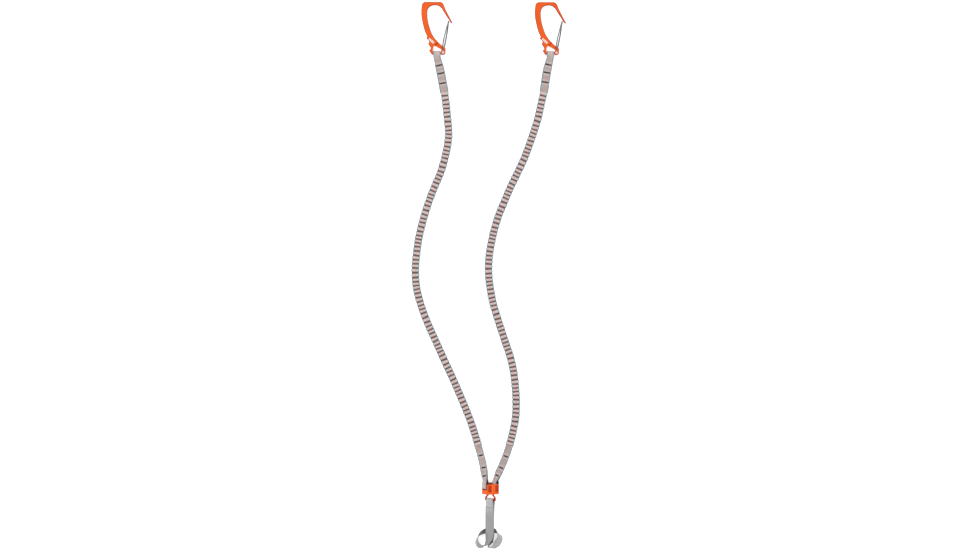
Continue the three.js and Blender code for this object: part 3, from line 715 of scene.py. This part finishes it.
def eye_webbing(side, end, spec, lay, tacks):
    """The webbing round a bar and back over itself, pinched at its bar tacks, with painted highlights
    beside the tacks and at the fold and painted shade inside the eye.
    """
    path = eye_path(**spec, length=lay.length)
    tangent = unit(np.gradient(path, axis=0))
    out = np.stack([-tangent[:, 1], tangent[:, 0]], axis=-1)
    apart = np.abs(path[:, :1] - np.array(tacks) * MM)
    pinch = bell(apart, PINCH_REACH * MM).max(axis=1)
    pucker = bell(apart - PUCKER_AT * MM, PUCKER_REACH * MM).max(axis=1)
    # Painted highlight beside the tacks and at the fold round the bar.
    painted_highlight = 0.6 * np.maximum(pucker, bell(path[:, 0], FOLD_REACH * MM))
    thick = np.where(path[:, 0] > spec["taper"], SEWN_LAYER, LOOSE_LAYER) * MM
    thick *= 1 - 0.25 * pinch + 0.15 * pucker
    strip = rounded_section(STRAP_WIDTH / 2, 1.0, 28, power=9.0)
    points = np.zeros((len(path), len(strip), 3))
    points[..., 0] = strip[None, :, 0]
    points[..., 1:] = path[:, None] + out[:, None] * strip[None, :, 1:] * thick[:, None, None]
    # Painted shade on the inside of the eye.
    inner = (strip[None, :, 1] > 0.3) & (path[:, :1] < spec["taper"] + 3 * MM)
    attributes = {
        "across": points[..., 0] / MM,
        "along": np.repeat(run_of(path)[:, None], len(strip), axis=1) / MM,
        "groove": np.zeros(points.shape[:2]),
        "painted_shade": inner * EYE_INNER_SHADE[end],
        "painted_highlight": np.repeat(painted_highlight[:, None], len(strip), axis=1),
    }
    faces = ring_faces(len(path), len(strip))
    return new_object(f"{side}_{end}_eye", lay.place(points.reshape(-1, 3)), faces, attributes)


def bar_tack(name, lay, y, width, length=TACK_LENGTH, threads=18):
    """Dense stitches through the strap at y, as one corrugated block with rounded ends."""
    rings, around = threads * 6 + 1, 20
    x = np.linspace(-width / 2, width / 2, rings)
    ridge = np.abs(np.sin(np.linspace(0, np.pi * threads, rings)))
    edge = np.clip(np.minimum(x + width / 2, width / 2 - x) / (0.5 * MM), 0.25, 1)
    reach = length / 2 * (0.93 + 0.07 * ridge)
    high = (SEWN_HALF + (0.12 + 0.2 * ridge) * MM) * (0.8 + 0.2 * edge)
    t = np.linspace(0, 2 * np.pi, around, endpoint=False)
    slant = 0.12 * MM * np.sign(np.sin(t))
    points = np.zeros((rings, around, 3))
    points[..., 0] = x[:, None] + slant
    points[..., 1] = y + reach[:, None] * rounded(np.cos(t), 0.5)
    points[..., 2] = high[:, None] * rounded(np.sin(t), 0.35)
    attributes = {
        "across": points[..., 0] / MM,
        "along": points[..., 1] / MM,
        "groove": np.zeros(points.shape[:2]),
    }
    faces = ring_faces(rings, around)
    return new_object(name, lay.place(points.reshape(-1, 3)), faces, attributes)


def sewn_end(side, end, body, spec, lay, tacks):
    """One end's webbing and its three bar tacks."""
    eye = eye_webbing(side, end, spec, lay, tacks)
    finish(eye, TUBE, body, f"{side}_{end}_webbing_eye")
    for i, y in enumerate(tacks, 1):
        tack = bar_tack(f"{side}_{end}_tack_{i}", lay, y * MM, width=TACK_WIDTHS[end])
        finish(tack, DARK_THREAD, body, f"{side}_{end}_bar_tack_{i}")


def wing_centre(sign):
    """Middle of a wing's bar: sign is -1 for the left wing and 1 for the right."""
    x = sign * WING_BAR_X
    return np.array([
        SWIVEL_X + x * math.cos(SWIVEL_YAW),
        SWIVEL_TOP - WING_BAR_HEIGHT / 2,
        SWIVEL_Z - x * math.sin(SWIVEL_YAW),
    ])


def sewn_ends(side, line):
    """Both sewn ends of an arm, from its line to the clip's bar and to the swivel's wing bar."""
    gap = 0.05 * MM
    top = line.at(0.0) - line.heading(0.0) * gap
    low = line.at(line.length) + line.heading(line.length) * gap

    upper = Lay(
        metres(UPPER_BARS[side]), heading=np.array([0, -1.0, 0]), square=5.5 * MM,
        points=np.vstack([metres(UPPER_POINTS[side]), top]), rolls=(0.0, 0.0),
    )
    spec = {"eye_r": BAR_R + 0.3 * MM, "drop": 0.0, "rise": 0.0, "taper": 14 * MM}
    sewn_end(side, "upper", f"{side}_arm_end", spec, upper, UPPER_TACKS[side])

    lower = Lay(
        wing_centre(-1 if side == "left" else 1), heading=np.array([0, 1.0, 0]), square=7 * MM,
        points=np.vstack([metres(LOWER_POINTS[side]), low]),
        rolls=(math.pi / 2 - SWIVEL_YAW, 0.0), width=EYE_WIDTH, untwist=0.42,
    )
    eye_r = WING_BAR_R + FIT
    drop = WING_BAR_HEIGHT / 2 + FIT - eye_r
    spec = {"eye_r": eye_r, "drop": drop, "rise": 3.2 * MM, "taper": 11 * MM}
    sewn_end(side, "lower", "swivel", spec, lower, LOWER_TACKS[side])


# Metal pieces ---------------------------------------------------------------------------------


def apply_modifiers(obj):
    """Makes the modifiers' result the object's own mesh."""
    bpy.context.view_layer.update()
    depsgraph = bpy.context.evaluated_depsgraph_get()
    obj.data = bpy.data.meshes.new_from_object(obj.evaluated_get(depsgraph))
    obj.modifiers.clear()


def refined(name, node, width):
    """A copy of a part's own mesh, with its edges finely rounded over the width."""
    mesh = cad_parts[node].data.copy()
    mesh.materials.clear()
    obj = bpy.data.objects.new(name, mesh)
    bpy.context.scene.collection.objects.link(obj)
    bm = bmesh.new()
    bm.from_mesh(mesh)
    bmesh.ops.remove_doubles(bm, verts=bm.verts, dist=1e-6)
    bmesh.ops.dissolve_limit(bm, angle_limit=math.radians(2), verts=bm.verts, edges=bm.edges)
    bm.to_mesh(mesh)
    bm.free()
    bevel = obj.modifiers.new("edges", "BEVEL")
    bevel.width, bevel.segments, bevel.limit_method = width, 3, "ANGLE"
    bevel.angle_limit = math.radians(24)
    bevel.use_clamp_overlap = True
    apply_modifiers(obj)
    obj.data.shade_smooth()
    obj.data.set_sharp_from_angle(angle=math.radians(38))
    weighted = obj.modifiers.new("normals", "WEIGHTED_NORMAL")
    weighted.keep_sharp = True
    apply_modifiers(obj)
    return obj


def gate_wire(side):
    """The gate's one wire: up the front from its foot, round the nose, and down the rear."""
    x, y = GATE_FOOT
    front = (CLIP_THICK - WIRE_R) / MM - 0.05
    rear = WIRE_R / MM + 0.05
    mid = CENTRE_Z / MM
    points = metres([
        (x, y, mid + 0.2), (x, y, front - 1.1), (x - 0.1, y + 0.4, front - 0.3),
        (x - 0.2, y + 1.6, front), (8.7, 12, front), (10.4, 22, front), (12.6, 31, front),
        (15.3, 41, front - 0.2), (16.5, 44.6, front - 0.7), (17, 45.8, mid + 0.9),
        (17.1, 46, mid - 0.9), (16.9, 44.8, rear + 0.7), (16.4, 42, rear + 0.1),
        (15, 31, rear), (13.5, 22, rear), (11.7, 13, rear), (10.6, 8.6, rear),
        (9.6, y + 1.1, rear), (x + 0.1, y + 0.25, rear + 0.4), (x, y, rear + 1.1),
        (x, y, mid - 0.2),
    ])
    bar = metres(UPPER_BARS[side])
    line = Line(catmull(points + np.array([bar[0], bar[1], 0])))
    s = np.linspace(0, line.length, 260)
    tangent = line.heading(s)
    carried = [unit(np.cross(tangent[0], np.array([1.0, 0, 0])))]
    for ahead in tangent[1:]:
        carried.append(unit(carried[-1] - ahead * (carried[-1] @ ahead)))
    across = np.array(carried)
    facing = np.cross(across, tangent)
    t = np.linspace(0, 2 * np.pi, 16, endpoint=False)
    ring = np.stack([np.cos(t), np.sin(t)], axis=-1) * WIRE_R
    section = np.broadcast_to(ring, (len(s), *ring.shape))
    wire = sweep(f"{side}_gate", line.at(s), across, facing, section, s)
    return finish(wire, WIRE, f"{side}_gate", f"{side}_wire_gate")


def clip_marks(side):
    """Plain white dashes printed on the lower spine; they spell nothing."""
    bar = metres(UPPER_BARS[side])
    start, stop = np.array(PRINT_LINE)
    along = unit(stop - start)
    across = np.array([along[1], -along[0]])
    sunk, proud = CLIP_THICK - 0.02 * MM, CLIP_THICK + 0.05 * MM
    verts, faces = [], []
    for a, b, half in PRINT_DASHES:
        base = len(verts)
        corners = [(a, -half), (b, -half), (b, half), (a, half)]
        for z in (sunk, proud):
            for u, v in corners:
                x, y = (start + along * u + across * v) * MM
                verts.append((bar[0] + x, bar[1] + y, z))
        for n in range(4):
            m = (n + 1) % 4
            faces.append((base + n, base + m, base + 4 + m, base + 4 + n))
        faces.append((base + 3, base + 2, base + 1, base))
        faces.append((base + 4, base + 5, base + 6, base + 7))
    marks = new_object(f"{side}_clip_marks", verts, faces, sharp_deg=30)
    return finish(marks, PRINT, f"{side}_clip")


def swivel_place(points):
    """From the swivel's own millimetres (x along its length, y up, z across) to the frame."""
    x, y, z = np.asarray(points, float).T * MM
    c, d = math.cos(SWIVEL_YAW), math.sin(SWIVEL_YAW)
    return np.stack([SWIVEL_X + x * c + z * d, SWIVEL_TOP + y, SWIVEL_Z - x * d + z * c], axis=-1)


def swivel_ribs():
    """Panels of fine upright ribs on the swivel's long walls, either side of the smooth middle, in a
    darker orange that is painted shade.
    """
    first, last, pitch, rise = 3.6, 9.2, 1.12, 0.34
    profile = ((-1.2, -0.3), (-1.6, 0.12), (-10.6, 0.12), (-11, -0.3))
    steps = np.linspace(first, last, 57)
    ridge = rise * (0.5 - 0.5 * np.cos(2 * np.pi * (steps - first) / pitch))
    n = len(steps)
    verts, faces = [], []
    for wall in (-1, 1):
        for half in (-1, 1):
            base = len(verts)
            for y, out in profile:
                lifts = ridge if out > 0 else np.zeros(n)
                for x, lift in zip(steps, lifts):
                    verts.append((half * x, y, wall * (SWIVEL_WALL + out + lift)))
            for row in range(3):
                for k in range(n - 1):
                    a = base + row * n + k
                    faces.append((a, a + 1, a + 1 + n, a + n))
            faces.append(tuple(base + row * n for row in range(4)))
            faces.append(tuple(base + row * n + n - 1 for row in (3, 2, 1, 0)))
            for k in range(n - 1):
                a = base + k
                faces.append((a, a + 3 * n, a + 3 * n + 1, a + 1))
    ribs = new_object("swivel_ribs", swivel_place(verts), faces, sharp_deg=60)
    return finish(ribs, RIBS_IN_PAINTED_SHADE, "swivel")


def swivel_rim():
    """The rim round the swivel's lower edge, as a closed ring with four rows of points."""
    half_x, corner = 10.5, 2.2
    profile = ((-11.4, -0.1), (-11.8, 0.45), (-13.9, 0.45), (-14.3, -0.1))
    outline = []
    for qx, qz, start in ((1, 1, 0), (-1, 1, 90), (-1, -1, 180), (1, -1, 270)):
        cx, cz = qx * (half_x - corner), qz * (SWIVEL_WALL - corner)
        for turn in range(start, start + 91, 15):
            a = math.radians(turn)
            outline.append((cx, cz, math.cos(a), math.sin(a)))
    verts = [
        (cx + nx * (corner + out), y, cz + nz * (corner + out))
        for y, out in profile for cx, cz, nx, nz in outline
    ]
    n, rows = len(outline), len(profile)
    faces = []
    for row in range(rows):
        a, b = row * n, ((row + 1) % rows) * n
        for k in range(n):
            m = (k + 1) % n
            faces.append((a + k, a + m, b + m, b + k))
    rim = new_object("swivel_rim", swivel_place(verts), faces, sharp_deg=50)
    return finish(rim, SWIVEL_ORANGE, "swivel")


def metal():
    """Clips, gates, swivel, shackle, pin and washers."""
    for side in SIDES:
        clip = refined(f"{side}_clip_body", f"{side}_clip_frame", 0.45 * MM)
        finish(clip, ORANGE, f"{side}_clip", f"{side}_clip_frame")
        gate_wire(side)
        clip_marks(side)
    swivel_ribs()
    swivel_rim()
    block = refined("swivel_block", "swivel_body", 0.4 * MM)
    finish(block, SWIVEL_ORANGE, "swivel", "swivel_body")
    ring = refined("shackle_ring", "shackle", 0.35 * MM)
    finish(ring, RED, "spindle", "shackle")
    pin = refined("swivel_pin", "swivel_axle", 0.2 * MM)
    finish(pin, RED, "spindle", "swivel_axle")
    for node in ("upper_washer", "lower_washer"):
        ring = refined(f"{node}_ring", node, 0.12 * MM)
        finish(ring, NYLON, "spindle", node)


# Sling ----------------------------------------------------------------------------------------

# Stations count the rows of SLING_ROUTE and go on round the shackle's bar. The front strand's
# top is the last ones and the first ones.
# Over the ring's stations the inside takes painted shade and the outside a painted highlight; over the
# rear ones the strand takes painted shadow.
RING_STATIONS, REAR_STATIONS = (9, 24), (23, 31)
FRONT_FROM, FRONT_UNTIL = 38, 3
RING_MIDDLE = np.array([-8, -385]) * MM
SEAM_Y, SEAM_REACH = -338.8 * MM, 0.7 * MM  # the cross line near the front strand's top
FADE_Y, FADE_LENGTH = -356 * MM, 26 * MM  # where the painted highlight on the front strand starts, growing upwards
SLING_TACK_Z, SLING_TACK_SCALE = 11.9 * MM, 0.9 / 1.9


def sling_stations():
    """Every station's middle and width direction: the route, and half a turn round the bar."""
    along = np.array([math.cos(SHACKLE_YAW), 0, math.sin(SHACKLE_YAW)])
    forward = np.array([-math.sin(SHACKLE_YAW), 0, math.cos(SHACKLE_YAW)])
    bar = np.array([SWIVEL_X, SHACKLE_BAR_Y, SWIVEL_Z])
    reach = SHACKLE_BAR_R + 0.6 * MM + SLING_THICK / 2
    centres = [np.array(row[:3]) * MM for row in SLING_ROUTE]
    widths = [np.array(row[3:], float) for row in SLING_ROUTE]
    for turn in range(180, -1, -30):
        a = math.radians(turn)
        centres.append(bar + forward * reach * math.cos(a) + np.array([0, reach * math.sin(a), 0]))
        widths.append(along)
    return np.array(centres), np.array(widths)


def sling_frame(centres, widths, per_span):
    """The loop's points, and the ribbon's across and facing directions at each."""
    points = catmull(centres, closed=True, per_span=per_span)
    tangent = unit(np.roll(points, -1, axis=0) - np.roll(points, 1, axis=0))
    share = np.tile(smooth(np.arange(per_span) / per_span), len(centres))[:, None]
    across = np.repeat(widths, per_span, axis=0) * (1 - share)
    across += np.repeat(np.roll(widths, -1, axis=0), per_span, axis=0) * share
    across = unit(across - tangent * np.sum(across * tangent, axis=1, keepdims=True))
    facing = np.cross(tangent, across)
    reach = (np.abs(across[:, 2]) * SLING_WIDTH + np.abs(facing[:, 2]) * SLING_THICK) / 2
    points[:, 2] = np.maximum(points[:, 2], reach + 0.05 * MM)
    return points, across, facing


def sling():
    """The endless ribbon, with painted shade inside the ring and on the rear strand, painted
    highlights outside the ring and up the front strand, and its stitches.
    """
    per_span = 12
    points, across, facing = sling_frame(*sling_stations(), per_span)
    run = run_of(points)
    strip = rounded_section(SLING_WIDTH / 2, SLING_THICK / 2, 40, power=10.0)
    section = np.broadcast_to(strip, (len(points), *strip.shape)).copy()
    section[..., 1] *= 1 + 0.06 * np.sin(run / MM * 1.1)[:, None] * np.cos(strip[:, 0] / MM * 2.1)

    station = np.arange(len(points)) / per_span
    on_ring = between(station, RING_STATIONS[0], 3, RING_STATIONS[1], 2)[:, None]
    rear_strand_shade = between(station, REAR_STATIONS[0], 1.5, REAR_STATIONS[1], 2)[:, None]
    front = (station < FRONT_UNTIL) | (station > FRONT_FROM)
    inward = np.sum((RING_MIDDLE - points[:, :2]) * facing[:, :2], axis=1)
    inner = (section[..., 1] * np.sign(inward)[:, None] > 0.2 * MM) * 1.0
    painted_top_highlight = smooth((points[:, 1] - FADE_Y) / FADE_LENGTH) * front
    seam = bell(points[:, 1] - SEAM_Y, SEAM_REACH) * front
    # Painted shade inside the ring and on the rear strand, painted highlight outside the ring and
    # towards the front strand's top.
    extra = {
        "painted_shade": np.maximum(0.5 * inner * on_ring, 0.75 * rear_strand_shade),
        "painted_highlight": np.maximum((0.9 * (painted_top_highlight - seam)).clip(0)[:, None], 0.45 * (1 - inner) * on_ring),
    }
    loop = sweep("sling_ribbon", points, across, facing, section, run, closed=True, extra=extra)
    finish(loop, SLING, "sling", "sling")
    tack = sling_tack()


def sling_tack():
    """Stitches that join the ribbon's ends, on the rear strand, made flatter for its one layer."""
    foot, top = np.array([[-5.8, -366, 11.9], [-5.8, -330, 11.9]]) * MM
    lay = Lay(foot, np.array([0, 1.0, 0]), 30 * MM, top[None], (0.0, 0.0))
    tack = bar_tack("sling_stitches", lay, 10 * MM, width=10.4 * MM, length=2.2 * MM, threads=22)
    for v in tack.data.vertices:
        v.co.z = SLING_TACK_Z + (v.co.z - SLING_TACK_Z) * SLING_TACK_SCALE
    return finish(tack, PALE_THREAD, "sling", "sling_bar_tack")


# Room -----------------------------------------------------------------------------------------


def floor():
    """A white floor that glows a little, so that shaded places stay white."""
    half = 6.0
    corners = [(-half, -half), (half, -half), (half, half), (-half, half)]
    plane = new_object("floor", [(x, y, -0.1 * MM) for x, y in corners], [(0, 1, 2, 3)])
    m = Nodes("floor", roughness=0.9)
    m.shader.inputs["Base Color"].default_value = (0.92, 0.92, 0.92, 1)
    m.shader.inputs["Emission Color"].default_value = (1, 1, 1, 1)
    m.shader.inputs["Emission Strength"].default_value = 0.6
    plane.data.materials.append(m.material)


def area_light(name, place, size, power):
    """A round light that faces the object."""
    data = bpy.data.lights.new(name, "AREA")
    data.shape, data.size, data.energy = "DISK", size, power
    light = bpy.data.objects.new(name, data)
    light.location = place
    light.rotation_mode = "QUATERNION"
    light.rotation_quaternion = (-Vector(place)).to_track_quat("-Z", "Y")
    bpy.context.scene.collection.objects.link(light)


def lights():
    """A key light, a fill and an even white world."""
    area_light("key", (-1.2, 1.6, 2.6), 1.6, 62)
    area_light("fill", (1.8, -0.8, 2.2), 2.2, 26)
    world = bpy.data.worlds.new("studio")
    world.use_nodes = True
    background = world.node_tree.nodes["Background"]
    background.inputs["Color"].default_value = (1.0, 1.0, 1.0, 1)
    background.inputs["Strength"].default_value = 0.5
    bpy.context.scene.world = world


bpy.context.scene.view_settings.view_transform = "Standard"
camera()
for one_side in SIDES:
    sewn_ends(one_side, arm(one_side))
metal()
sling()
floor()
lights()
